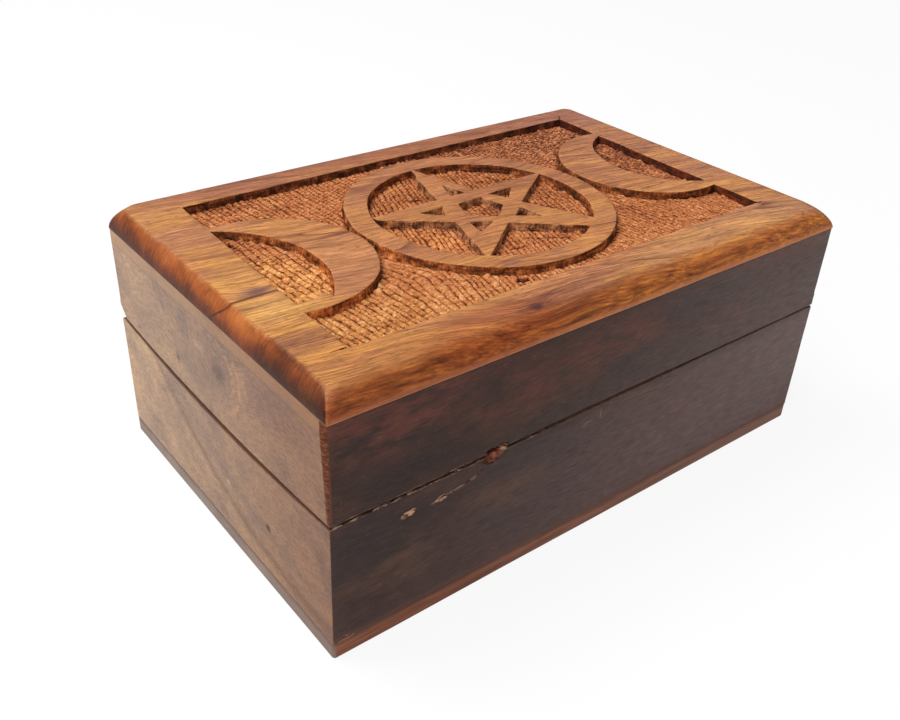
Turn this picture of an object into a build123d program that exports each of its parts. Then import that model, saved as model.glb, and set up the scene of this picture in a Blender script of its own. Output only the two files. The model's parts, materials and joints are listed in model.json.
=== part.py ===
from build123d import *
import os
from math import cos, pi, sin, tan

# A keepsake box of solid wood. Its closed body was glued up from mitred boards, a carved
# top panel and a bottom board, and then sawn apart into a base and a hinged lid.
# Millimetres. The origin is the centre of the resting face, +X runs along the front to
# the right, +Y points to the hinged back, and +Z points up.

# Outside of the closed box
box_length = 152.4
box_width = 98.0
box_height = 64.8

# Boards
wall_thickness = 9.0
bottom_thickness = 4.4
bottom_edge_radius = 1.6
panel_thickness = 5.6
panel_edge_inset = 3.3

# Saw cut between the base and the lid
base_height = 35.4
saw_cut = 0.5

# Bevels along the back of the saw cut, which clear the hinges and stop the open lid
lid_bevel_depth = 3.0
lid_bevel_height = 3.2
base_bevel_depth = 1.9
base_bevel_height = 1.0

# Sunk field of the carving, and the figures that stand in it
end_border = 14.1
side_border = 11.5
field_shift_x = -0.6
field_shift_y = 1.2
field_depth = 2.3
ring_radius = 33.5
ring_width = 6.1
star_bar = 4.4
star_point_overlap = 2.0
crescent_radius = 23.1
crescent_inset = 4.3
crescent_thickness = 13.8
crescent_hollow_radius = 22.3

# Hinges
hinge_spacing = 84.0
hinge_length = 20.0
hinge_axis_inset = 2.0
knuckle_count = 5
knuckle_gap = 0.2
barrel_radius = 1.5
leaf_width = 6.4
leaf_thickness = 0.8
pin_radius = 0.6
pin_head_radius = 1.0
pin_head_thickness = 0.4

# Hinge screws
screw_spacing = 12.0
screw_inset = 4.1
screw_length = 6.0
screw_radius = 0.7
screw_head_radius = 1.35
screw_head_depth = 0.6
screw_slot_width = 0.35
screw_slot_depth = 0.3

# Clearances
pin_clearance = 0.05
pin_seat_clearance = 0.02
barrel_clearance = 0.3
leaf_clearance = 0.1
screw_clearance = 0.03

# Heights and places that follow from the sizes above
lid_rim = base_height + saw_cut
panel_base = box_height - panel_thickness
back_face = box_width / 2
hinge_y = back_face - hinge_axis_inset
hinge_z = base_height + saw_cut / 2
knuckle_pitch = hinge_length / knuckle_count
barrel_length = hinge_length - knuckle_gap
hinge_places = {"left": -hinge_spacing / 2, "right": hinge_spacing / 2}


def prism(outline, bottom, top):
    """Solid over an outline in plan, between two heights."""
    return Pos(0, 0, bottom) * extrude(make_face(Polyline(*outline, close=True)), top - bottom)


def block(x_range, y_range, z_range):
    """Box between two corners."""
    size = [high - low for low, high in (x_range, y_range, z_range)]
    middle = [(high + low) / 2 for low, high in (x_range, y_range, z_range)]
    return Pos(*middle) * Box(*size)


def rod(radius, centre_x, length):
    """Cylinder on the hinge axis."""
    return Pos(centre_x, hinge_y, hinge_z) * Rot(0, 90, 0) * Cylinder(radius, length)


def long_board(side, bottom, top):
    """Front (side -1) or back (side 1) board, mitred at both ends."""
    outer_x, outer_y = box_length / 2, side * box_width / 2
    inner_x = outer_x - wall_thickness
    inner_y = outer_y - side * wall_thickness
    outline = [(-outer_x, outer_y), (outer_x, outer_y), (inner_x, inner_y), (-inner_x, inner_y)]
    return prism(outline, bottom, top)


def end_board(side, bottom, top):
    """Left (side -1) or right (side 1) board, mitred at both ends."""
    outer_x, outer_y = side * box_length / 2, box_width / 2
    inner_x = outer_x - side * wall_thickness
    inner_y = outer_y - wall_thickness
    outline = [(outer_x, -outer_y), (outer_x, outer_y), (inner_x, inner_y), (inner_x, -inner_y)]
    return prism(outline, bottom, top)


def back_bevel(depth, rim, height):
    """Wedge that the bevel takes off the back edge of a rim, over the whole length."""
    outline = Polyline(
        (back_face - depth, rim), (back_face, rim), (back_face, rim + height), close=True
    )
    face = Plane.YZ.offset(-box_length / 2) * make_face(outline)
    return extrude(face, box_length)


def hinge_seat(centre_x, leaf_low, leaf_high):
    """Room that one hinge takes in a rim: a shallow mortise and a groove for the barrel."""
    half_length = hinge_length / 2 + leaf_clearance
    leaf_room = block(
        (centre_x - half_length, centre_x + half_length),
        (hinge_y - leaf_width - leaf_clearance, back_face),
        (leaf_low, leaf_high),
    )
    groove_length = hinge_length + 2 * (pin_head_thickness + barrel_clearance)
    return leaf_room + rod(barrel_radius + barrel_clearance, centre_x, groove_length)


def at_screws(shape, centre_x, rim, direction):
    """Copies of a shape on the two screw axes of a leaf; it points up where direction is 1."""
    turn = Rot(0, 0, 0) if direction < 0 else Rot(180, 0, 0)
    y = hinge_y - screw_inset
    return [
        Pos(centre_x + side * screw_spacing / 2, y, rim) * turn * shape for side in (-1, 1)
    ]


def screw_shape(growth):
    """Countersunk screw under z = 0, point down, grown all over by a clearance."""
    radius = screw_radius + growth
    head_radius = screw_head_radius + growth
    tip = -screw_length - growth
    shoulder = -screw_head_depth - growth
    outline = Polyline(
        (0, 0),
        (head_radius, 0),
        (radius, shoulder),
        (radius, tip + 2 * radius),
        (0, tip),
        close=True,
    )
    return revolve(make_face(Plane.XZ * outline), Axis.Z)


def screws(centre_x, rim, direction):
    """The two slotted screws of one leaf; direction is -1 into the base, 1 into the lid."""
    slot = block(
        (-screw_head_radius, screw_head_radius),
        (-screw_slot_width / 2, screw_slot_width / 2),
        (-screw_slot_depth, screw_slot_depth),
    )
    screw = screw_shape(0) - slot
    return at_screws(screw, centre_x, rim, direction)


def screw_holes(centre_x, rim, direction):
    """Pilot holes and countersinks for the screws of one leaf."""
    return at_screws(screw_shape(screw_clearance), centre_x, rim, direction)


def panel_edge(width):
    """Outline of the panel across one direction: flat top, and an arc down each side."""
    half = width / 2
    crease = half - panel_edge_inset
    left_arc = TangentArc((-half, 0), (-crease, panel_thickness), tangent=(0, 1))
    right_arc = TangentArc((half, 0), (crease, panel_thickness), tangent=(0, 1))
    top = Line((-crease, panel_thickness), (crease, panel_thickness))
    bottom = Line((-half, 0), (half, 0))
    return make_face([left_arc, top, right_arc, bottom])


def panel_blank():
    """Top panel before it is carved, with its rounded edges meeting in mitre lines."""
    across = Plane.XZ * panel_edge(box_length)
    along = Plane.YZ * panel_edge(box_width)
    return extrude(across, box_width / 2, both=True) & extrude(along, box_length / 2, both=True)


def star_corner(radius, turn):
    """Point at a radius from the star's centre, turned by a number of tenths of a circle."""
    angle = pi / 2 + turn * pi / 5
    return (radius * cos(angle), radius * sin(angle))


def star():
    """Pentagram of five crossing bars, with the fields between the bars left open."""
    half_point_angle = pi / 10
    waist = sin(half_point_angle) / cos(2 * half_point_angle)
    outer_reach = ring_radius - ring_width + star_point_overlap
    bar_outside = outer_reach * sin(half_point_angle)
    bar_inside = bar_outside - star_bar
    open_reach = bar_inside / sin(half_point_angle)
    outline = []
    middle = []
    for turn in range(0, 10, 2):
        outline.append(star_corner(outer_reach, turn))
        outline.append(star_corner(outer_reach * waist, turn + 1))
        middle.append(star_corner(open_reach * waist, turn + 1))
    figure = make_face(Polyline(*outline, close=True))
    figure -= make_face(Polyline(*middle, close=True))
    half_base = (open_reach - bar_outside) * tan(half_point_angle)
    triangle = Polyline(
        (-half_base, bar_outside), (half_base, bar_outside), (0, open_reach), close=True
    )
    for turn in range(5):
        figure -= Rot(0, 0, turn * 360 / 5) * make_face(triangle)
    return figure & Circle(ring_radius)


def crescent(side, half_field):
    """Crescent whose horns run into the end of the sunk field."""
    centre = half_field - crescent_inset
    hollow_centre = centre - crescent_radius + crescent_thickness + crescent_hollow_radius
    moon = Pos(side * centre, 0) * Circle(crescent_radius)
    return moon - Pos(side * hollow_centre, 0) * Circle(crescent_hollow_radius)


def sunk_field():
    """Plan of what the carver took away round the ring, the star and the crescents."""
    field_length = box_length - 2 * end_border
    field_width = box_width - 2 * side_border
    field = Rectangle(field_length, field_width)
    field -= Circle(ring_radius) - Circle(ring_radius - ring_width)
    field -= star()
    for side in (-1, 1):
        field -= crescent(side, field_length / 2)
    return field


def top_panel():
    """Carved panel in its place on the lid."""
    cut = extrude(sunk_field(), field_depth)
    carved = panel_blank() - Pos(field_shift_x, field_shift_y, panel_thickness - field_depth) * cut
    return Pos(0, 0, panel_base) * carved


def bottom_board():
    """Bottom board, rounded along its lower edges."""
    board = block(
        (-box_length / 2, box_length / 2), (-box_width / 2, box_width / 2), (0, bottom_thickness)
    )
    return fillet(board.faces().sort_by(Axis.Z)[0].edges(), bottom_edge_radius)


def hinge_leaf(centre_x, plate_low, plate_high, own_turn):
    """Leaf plate with every other knuckle of the barrel, starting from own_turn."""
    half_length = barrel_length / 2
    leaf = block(
        (centre_x - half_length, centre_x + half_length),
        (hinge_y - leaf_width, hinge_y),
        (plate_low, plate_high),
    )
    for index in range(knuckle_count):
        knuckle_x = centre_x + knuckle_pitch * (index - (knuckle_count - 1) / 2)
        if index % 2 == own_turn:
            leaf += rod(barrel_radius, knuckle_x, knuckle_pitch - knuckle_gap)
        else:
            leaf -= rod(barrel_radius + barrel_clearance, knuckle_x, knuckle_pitch + knuckle_gap)
    return leaf


def finished_leaf(centre_x, plate_low, plate_high, own_turn, rim, direction, bore_clearance):
    """Leaf with its pin bore and countersunk screw holes."""
    leaf = hinge_leaf(centre_x, plate_low, plate_high, own_turn)
    leaf -= rod(pin_radius + bore_clearance, centre_x, hinge_length)
    for hole in screw_holes(centre_x, rim, direction):
        leaf -= hole
    return leaf


def hinge_pin(centre_x):
    """Pin with a flat head at each end of the barrel."""
    pin = rod(pin_radius, centre_x, barrel_length)
    for side in (-1, 1):
        head_x = centre_x + side * (barrel_length + pin_head_thickness) / 2
        pin += rod(pin_head_radius, head_x, pin_head_thickness)
    return pin


# Boards of the base and of the lid, sawn apart at the cut
nodes = {
    "base_bottom_board": bottom_board(),
    "base_front_board": long_board(-1, bottom_thickness, base_height),
    "base_back_board": long_board(1, bottom_thickness, base_height),
    "base_left_board": end_board(-1, bottom_thickness, base_height),
    "base_right_board": end_board(1, bottom_thickness, base_height),
    "lid_top_panel": top_panel(),
    "lid_front_board": long_board(-1, lid_rim, panel_base),
    "lid_back_board": long_board(1, lid_rim, panel_base),
    "lid_left_board": end_board(-1, lid_rim, panel_base),
    "lid_right_board": end_board(1, lid_rim, panel_base),
}

# Bevels along the back, which run out through the end boards
lid_wedge = back_bevel(lid_bevel_depth, lid_rim, lid_bevel_height)
base_wedge = back_bevel(base_bevel_depth, base_height, -base_bevel_height)
for place in ("back", "left", "right"):
    nodes[f"lid_{place}_board"] -= lid_wedge
    nodes[f"base_{place}_board"] -= base_wedge

# Hinges, let into the rims of the back boards
base_leaf_low = base_height - leaf_thickness
lid_leaf_high = lid_rim + leaf_thickness
for name, centre in hinge_places.items():
    nodes["base_back_board"] -= hinge_seat(centre, base_leaf_low, base_height)
    nodes["lid_back_board"] -= hinge_seat(centre, lid_rim, lid_leaf_high)
    for hole in screw_holes(centre, base_height, -1):
        nodes["base_back_board"] -= hole
    for hole in screw_holes(centre, lid_rim, 1):
        nodes["lid_back_board"] -= hole
    nodes[f"{name}_hinge_base_leaf"] = finished_leaf(
        centre, base_leaf_low, base_height, 0, base_height, -1, pin_seat_clearance
    )
    nodes[f"{name}_hinge_lid_leaf"] = finished_leaf(
        centre, lid_rim, lid_leaf_high, 1, lid_rim, 1, pin_clearance
    )
    nodes[f"{name}_hinge_pin"] = hinge_pin(centre)
    nodes[f"{name}_hinge_base_screws"] = Compound(screws(centre, base_height, -1))
    nodes[f"{name}_hinge_lid_screws"] = Compound(screws(centre, lid_rim, 1))

os.makedirs("parts", exist_ok=True)
for name, shape in nodes.items():
    export_step(shape, f"parts/{name}.step")
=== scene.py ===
import json
from itertools import product
from math import ceil, pi, radians

import bmesh
import bpy
import numpy as np
from mathutils import Matrix, Vector, kdtree
from mathutils.geometry import delaunay_2d_cdt


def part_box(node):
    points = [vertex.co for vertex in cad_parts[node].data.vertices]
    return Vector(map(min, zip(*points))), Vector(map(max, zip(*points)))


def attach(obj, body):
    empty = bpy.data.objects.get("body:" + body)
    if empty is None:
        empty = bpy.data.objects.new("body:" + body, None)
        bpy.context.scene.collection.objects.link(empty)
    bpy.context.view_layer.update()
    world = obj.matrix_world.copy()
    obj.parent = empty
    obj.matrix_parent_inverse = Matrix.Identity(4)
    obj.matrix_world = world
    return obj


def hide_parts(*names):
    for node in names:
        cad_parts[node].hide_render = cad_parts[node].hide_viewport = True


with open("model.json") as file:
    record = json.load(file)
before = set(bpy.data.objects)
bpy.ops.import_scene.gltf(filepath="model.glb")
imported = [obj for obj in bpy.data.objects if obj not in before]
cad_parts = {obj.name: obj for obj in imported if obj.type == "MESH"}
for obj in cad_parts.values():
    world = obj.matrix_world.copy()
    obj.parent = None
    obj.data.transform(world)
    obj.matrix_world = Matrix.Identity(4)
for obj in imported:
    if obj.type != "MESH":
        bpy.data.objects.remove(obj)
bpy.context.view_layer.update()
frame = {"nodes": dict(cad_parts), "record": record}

# Lengths and places below are in millimetres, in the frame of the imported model
MM = 0.001


def node_box(node):
    """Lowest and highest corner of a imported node."""
    return [[float(value) / MM for value in corner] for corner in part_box(node)]


# Sizes of the boards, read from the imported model
half_length, half_width, box_top = node_box("lid_top_panel")[1]
panel_base = node_box("lid_top_panel")[0][2]
wall = node_box("base_front_board")[1][1] + half_width
base_rim = node_box("base_front_board")[1][2]
lid_rim = node_box("lid_front_board")[0][2]
bottom_top = node_box("base_bottom_board")[1][2]

# Hinges, and the room that the back boards leave for them
hinge_x, hinge_y, hinge_z = ((low + high) / 2 for low, high in zip(*node_box("right_hinge_pin")))
leaf_thickness = 0.8
leaf_room_half, leaf_room_front = 10.1, 40.5
groove_half, groove_radius = 10.7, 1.8

# Radii of the boards' edges: along the sawn rims, at the joints between boards, and at the foot
outer_rim_radius, outer_rim_spread, inner_rim_radius = 0.25, 0.15, 0.3
joint_radius = 0.13
foot_radius, foot_spread = 0.6, 0.25

# Waves of the boards' outsides, and height of the fibres that stand out of a sawn rim
board_waves, fray_height = 0.05, 0.16

# Bevels along the back of the saw cut
lid_bevel_depth, lid_bevel_height = 3.0, 3.2
base_bevel_depth, base_bevel_height = 1.9, 1.0

# The saw cut wanders: it sags along the ends, climbs along the front and gapes in its middle
left_sag, right_sag, sag_reach = 2.0, 0.6, 24.0
base_extra_sag = 0.65
front_climb = 0.9
front_gape, gape_x, gape_reach = 0.35, -5.0, 38.0

# Rounded edges of the panel: how far each crease lies inside the box
crease_left, crease_right, crease_front, crease_back = 2.6, 4.3, 4.1, 2.4
corner_rounding = {(-1, -1): 3.2, (1, -1): 6.0, (1, 1): 1.8, (-1, 1): 4.0}

# The panel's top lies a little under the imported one, so that its waves stay inside
top_drop, top_waves = 0.05, 0.04

# Sunk field of the carving, and a rectangle around it
field_corners = [(-63.6, -36.6), (61.2, -35.1), (62.6, 39.8), (-61.5, 38.9)]
field_low, field_high = (-65, -40), (65, 43)
field_depth, depth_spread = 1.95, 0.3

# How far the hand-held gouge strayed from the outlines
outline_waver = 0.3

# Figures that stand in the field: circles with their centre and radius, and the star
ring_outside = ((-0.4, 1.7), 33.5)
ring_inside = ((-0.3, 1.5), 27.8)
left_moon = ((-57.9, 1.9), 23.0)
left_hollow = ((-75.4, -0.1), 26.9)
right_moon = ((58.1, 2.0), 23.2)
right_hollow = ((70.4, 2.2), 21.9)
star_outline = [
    (-1.0, 30.3), (-7.5, 10.2), (-26.9, 9.7), (-26.5, 7.9), (-11.4, -2.8), (-17.8, -22.5), (-1.0, -9.9),
    (16.0, -23.2), (18.8, -19.2), (10.0, -2.1), (27.4, 10.3), (4.8, 10.0),
]
star_openings = [
    [(-4.3, 5.4), (-6.4, -0.9), (-0.7, -5.9), (4.8, -1.0), (3.2, 5.8)],
    [(-0.4, 17.0), (-2.8, 10.4), (1.5, 10.2)],
    [(14.4, 6.7), (6.2, 6.3), (8.8, 1.5)],
    [(7.3, -4.3), (2.9, -7.7), (8.6, -11.4)],
    [(-8.7, -4.4), (-10.2, -10.6), (-3.4, -7.3)],
    [(-16.0, 6.0), (-11.2, 1.4), (-8.6, 6.2)],
]
left_horn_gap = [(-70.0, -17.0), (-58.5, -16.6), (-55.6, -15.4), (-53.0, -30.0), (-70.0, -30.0)]

# Gashes in the sunk floor: start, end and half width
gashes = [
    ((-10.6, 16.3), (-7.8, 16.1), 0.3), ((-19.7, 10.8), (-14.2, 10.7), 0.2),
    ((16.0, 20.2), (17.3, 13.9), 0.32), ((-7.7, -18.8), (-3.2, -19.1), 0.28),
    ((1.5, -17.8), (8.5, -21.0), 0.25), ((-16.5, -31.4), (-14.7, -32.0), 0.6),
    ((-62.5, 19.5), (-60.0, 17.0), 0.5), ((-52.0, 14.8), (-50.2, 11.0), 0.3),
]
gash_depth = 0.7

# Splinters that stand up from the sunk floor: start, end and half width
splinters = [
    ((-45.4, -21.0), (-42.0, -15.0), 0.55), ((-22.4, -30.1), (-20.4, -29.7), 0.3),
    ((57.6, 34.0), (60.2, 37.2), 0.5), ((-15.0, -31.0), (-14.0, -32.4), 0.3),
    ((33.6, 5.0), (35.6, 5.3), 0.35),
]
splinter_height = 0.7

# Overcuts, where the knife ran past a corner of the field: start, end and width
overcuts = [
    ((-62.0, -36.3), (-67.2, -36.0), 0.45),
    ((59.5, -35.1), (63.6, -35.3), 0.35),
    ((61.1, -33.6), (61.4, -37.3), 0.35),
    ((62.2, 39.2), (64.8, 42.6), 0.4),
]
overcut_depth = 0.6

# How finely the carving is meshed, and how far its points stay from outlines and creases
floor_step, top_step, outline_step = 0.34, 1.3, 0.45
floor_clearance, top_clearance, crease_clearance = 0.33, 0.65, 0.4

# Edges of the meshes that bend by more than this many degrees look sharp
sharp_angle = 55

# Number of random values that the noise draws on
hash_size = 4096


def lattice_noise(points, seed):
    """Smooth noise between -1 and 1 at rows of points given in lattice steps."""
    values = np.random.default_rng(seed).uniform(-1, 1, hash_size)
    cell = np.floor(points).astype(np.int64)
    part = points - cell
    part = part * part * (3 - 2 * part)
    primes = np.array([73856093, 19349663, 83492791])[: points.shape[1]]
    total = np.zeros(len(points))
    for corner in product((0, 1), repeat=points.shape[1]):
        hashed = np.bitwise_xor.reduce((cell + corner) * primes, axis=1) % hash_size
        total += values[hashed] * np.prod(np.where(corner, part, 1 - part), axis=1)
    return total


def fractal(points, size, octaves, seed):
    """Noise of several sizes added up; size is that of the largest, on each axis."""
    layers = [
        lattice_noise(points / (np.array(size) / 2**n), seed + n) / 2**n
        for n in range(octaves)
    ]
    return sum(layers) / sum(1 / 2**n for n in range(octaves))


def smooth(value, low, high):
    """0 at low, 1 at high and a smooth climb between."""
    t = np.clip((value - low) / (high - low), 0, 1)
    return t * t * (3 - 2 * t)


def rows(*arrays):
    """Arrays, one for each axis, as rows of points."""
    return np.stack(np.broadcast_arrays(*arrays), axis=-1).astype(float)


def make_piece(name, points, blocks, marks=None, merge=0.0):
    """Mesh object from rows of points; marks are kept on its points as attributes.

    Each block holds faces with the same number of corners.
    """
    faces = [face for block in blocks for face in np.asarray(block, int).tolist()]
    volume = sum(
        np.einsum("ij,ij->", points[block[:, 0]], np.cross(points[block[:, k]], points[block[:, k + 1]]))
        for block in map(np.asarray, blocks) for k in range(1, block.shape[1] - 1)
    )
    if volume < 0:
        faces = [face[::-1] for face in faces]
    mesh = bpy.data.meshes.new(name)
    mesh.from_pydata(points * MM, [], faces)
    for mark, values in (marks or {}).items():
        layer = mesh.attributes.new(mark, "FLOAT", "POINT")
        layer.data.foreach_set("value", values.astype(np.float32))
    if merge:
        work = bmesh.new()
        work.from_mesh(mesh)
        bmesh.ops.remove_doubles(work, verts=work.verts, dist=merge * MM)
        loose = [vert for vert in work.verts if not vert.link_faces]
        bmesh.ops.delete(work, geom=loose, context="VERTS")
        work.to_mesh(mesh)
        work.free()
    mesh.validate()
    mesh.shade_smooth()
    mesh.set_sharp_from_angle(angle=radians(sharp_angle))
    piece = bpy.data.objects.new(name, mesh)
    bpy.context.scene.collection.objects.link(piece)
    return piece


def eased(a, b, radius):
    """Distances from two faces that meet in an edge, moved so that the edge is round."""
    near = (a < radius) & (b < radius)
    p = np.where(near, radius - a, 1.0)
    q = np.where(near, radius - b, 1.0)
    shrink = np.maximum(p, q) / np.hypot(p, q)
    return np.where(near, radius - p * shrink, a), np.where(near, radius - q * shrink, b)


def round_corners(x, y, low, high, radii):
    """Rounds the corners of an upright rectangle; radii has a radius for each corner."""
    for (side_x, side_y), radius in radii.items():
        end_x = high[0] if side_x > 0 else -low[0]
        end_y = high[1] if side_y > 0 else -low[1]
        here = (side_x * x > 0) & (side_y * y > 0)
        a, b = eased(end_x - side_x * x, end_y - side_y * y, radius)
        x = np.where(here, side_x * (end_x - a), x)
        y = np.where(here, side_y * (end_y - b), y)
    return x, y


def ease_upright_edges(points, radius_of):
    """Rounds the four upright edges of the box; radius_of gives a radius from a height."""
    x, y, z = points.T
    sides = product((-1, 1), (-1, 1))
    radii = {corner: radius_of(corner, z) for corner in sides}
    high = np.array([half_length, half_width])
    return rows(*round_corners(x, y, -high, high, radii), z)


def spread(*stops):
    """Places from stop to stop; each stop is a place and the step that follows it."""
    places = []
    for (start, step), (end, _) in zip(stops, stops[1:]):
        count = max(1, ceil((end - start) / step - 1e-6))
        places.extend(np.linspace(start, end, count, endpoint=False))
    return np.array(places + [stops[-1][0]])


def spread_both_ways(half, near_ends, end_step, step):
    """Places from -half to half, set closer together near both ends."""
    return spread((-half, end_step), (near_ends - half, step), (half - near_ends, end_step), (half, 0))


def lattice(us, vs, ws):
    """Closed box of quads over three lists of places: its points, and its faces."""
    shape = (len(us), len(vs), len(ws))

    def sheet(axis, end):
        return tuple(end if a == axis else slice(None) for a in range(3))

    on_skin = np.zeros(shape, bool)
    for axis, end in product(range(3), (0, -1)):
        on_skin[sheet(axis, end)] = True
    number = np.full(shape, -1)
    number[on_skin] = np.arange(on_skin.sum())
    points = np.stack(np.meshgrid(us, vs, ws, indexing="ij"), axis=-1)[on_skin]
    faces = []
    for axis, end in product(range(3), (0, -1)):
        side = number[sheet(axis, end)]
        quads = np.stack([side[:-1, :-1], side[1:, :-1], side[1:, 1:], side[:-1, 1:]], axis=-1)
        quads = quads.reshape(-1, 4)
        faces.append(quads if (end == -1) != (axis == 1) else quads[:, ::-1])
    return points, [np.concatenate(faces)]


# Outlines of the carving

def circle(centre, radius):
    """Closed outline of a circle."""
    count = ceil(2 * pi * radius / outline_step)
    turn = np.linspace(0, 2 * pi, count, endpoint=False)
    return np.array(centre) + radius * rows(np.cos(turn), np.sin(turn))


def polygon(corners):
    """Closed outline with points set along its straight sides."""
    points = []
    for start, end in zip(corners, corners[1:] + corners[:1]):
        start, end = np.array(start), np.array(end)
        count = ceil(np.linalg.norm(end - start) / outline_step)
        points.extend(start + (end - start) * k / count for k in range(count))
    return np.array(points)


def sliver(start, end, width):
    """Closed outline of a thin cut, widest in its middle."""
    start, end = np.array(start), np.array(end)
    along = (end - start) / np.linalg.norm(end - start)
    aside = np.array([-along[1], along[0]]) * width / 2
    middle = (start + end) / 2
    return polygon([tuple(start), tuple(middle - aside), tuple(end), tuple(middle + aside)])


def hand_cut(outline):
    """The outline with the waver of a hand-held gouge."""
    waver = rows(fractal(outline, (7, 7), 4, 11), fractal(outline, (7, 7), 4, 12))
    return outline + outline_waver * waver


def to_pairs(outline):
    """Each point of a closed outline with the next one."""
    return np.stack([outline, np.roll(outline, -1, axis=0)], axis=1)


def inside(points, outline):
    """Which points lie in a closed outline."""
    order = np.argsort(points[:, 1])
    x, y = points[order].T
    odd = np.zeros(len(points), bool)
    for (ax, ay), (bx, by) in to_pairs(outline):
        if ay != by:
            passed = slice(*np.searchsorted(y, [min(ay, by), max(ay, by)]))
            odd[passed] ^= x[passed] < ax + (bx - ax) * (y[passed] - ay) / (by - ay)
    found = np.zeros(len(points), bool)
    found[order] = odd
    return found


class Carving:
    """Outlines of the carving, and which parts of the plan they sink."""

    def __init__(self):
        self.field = hand_cut(polygon(field_corners))
        self.ring = [hand_cut(circle(*ring_outside)), hand_cut(circle(*ring_inside))]
        self.moons = [
            [hand_cut(circle(*left_moon)), hand_cut(circle(*left_hollow))],
            [hand_cut(circle(*right_moon)), hand_cut(circle(*right_hollow))],
        ]
        self.horn_gap = hand_cut(polygon(left_horn_gap))
        self.star = hand_cut(polygon(star_outline))
        self.openings = [hand_cut(polygon(corners)) for corners in star_openings]
        self.overcuts = [sliver(*cut) for cut in overcuts]

    def edges(self):
        """Pairs of points along the outlines, where one side is sunk and the other isn't."""
        moons = self.moons[0] + self.moons[1]
        outlines = [self.field, self.horn_gap, self.star, *self.ring, *moons]
        outlines += self.openings + self.overcuts
        pairs = np.concatenate([to_pairs(outline) for outline in outlines])
        run = pairs[:, 1] - pairs[:, 0]
        aside = 0.02 * rows(-run[:, 1], run[:, 0]) / np.linalg.norm(run, axis=1)[:, None]
        kept = np.zeros(len(pairs), bool)
        for share in (0.02, 0.5, 0.98):
            place = pairs[:, 0] + share * run
            kept |= self.sunk(place + aside) != self.sunk(place - aside)
        return pairs[kept]

    def sunk(self, points):
        """Which points lie in the sunk part."""
        stands = inside(points, self.ring[0]) & ~inside(points, self.ring[1])
        for moon, hollow in self.moons:
            stands |= inside(points, moon) & ~inside(points, hollow)
        stands |= inside(points, self.moons[0][0]) & inside(points, self.horn_gap)
        star = inside(points, self.star) & inside(points, self.ring[0])
        for opening in self.openings:
            star &= ~inside(points, opening)
        return (inside(points, self.field) & ~stands & ~star) | self.nicked(points)

    def nicked(self, points):
        """Which points lie in an overcut."""
        found = np.zeros(len(points), bool)
        for outline in self.overcuts:
            found |= inside(points, outline)
        return found & ~inside(points, self.field)


def to_path(points, path):
    """Distance of each point in a plane from a path of straight runs."""
    best = np.full(len(points), 1e3)
    for start, end in zip(path, path[1:]):
        start, run = np.array(start), np.array(end) - np.array(start)
        share = np.clip((points - start) @ run / (run @ run), 0, 1)
        away = np.linalg.norm(points - start - share[:, None] * run, axis=1)
        best = np.minimum(best, away)
    return best


# The gouge worked in rows that run to the back, with short strokes along each row
row_pitch, row_shift = 1.38, 0.618
long_stroke, short_stroke = 3.4, 1.3

# Depths of the cuts between rows and between strokes, and heights of what stands between them
row_cut_depth, stroke_cut_depth = 0.3, 0.1
rib_height, scoop_depth, force_height = 0.12, 0.09, 0.06


def gouge_rows(points):
    """Place of each point among the gouge's rows, and along the strokes of its row."""
    x, y = points.T
    fan = 0.26 * smooth(x, -46, -26) * (1 - smooth(x, -18, 2)) * (1 - smooth(y, -20, -4))
    in_ring = np.hypot(x - ring_inside[0][0], y - ring_inside[0][1]) < ring_inside[1] + 2
    lean = np.where(in_ring, 0.3, fan - 0.08)
    waver = 0.6 * fractal(points, (20, 13), 3, 21) + 0.1 * fractal(points, (2.4, 1.7), 2, 22)
    across = (x - lean * (y - field_corners[0][1])) / row_pitch + 0.0009 * x * x + waver
    across += 0.4 * lattice_noise(rows(across * 0.8, y * 0.04), 23)
    to_back = smooth(y, -10, 14)
    along = y / (long_stroke - (long_stroke - short_stroke) * to_back)
    return across, along + 0.5 * fractal(points, (5, 5), 2, 24)


def line_between(place, half):
    """1 on the line between two whole places, and 0 beyond half a width from it."""
    part = place - np.floor(place)
    return np.exp(-((np.minimum(part, 1 - part) / half) ** 2))


def near_strokes(points, strokes, seed):
    """1 on the middle of the nearest of some strokes, fading away over its half width."""
    found = np.zeros(len(points))
    shaken = points + 0.25 * fractal(points, (1.5, 1.5), 2, seed)[:, None]
    for start, end, half in strokes:
        found = np.maximum(found, np.exp(-((to_path(shaken, [start, end]) / half) ** 2)))
    return found


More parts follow.
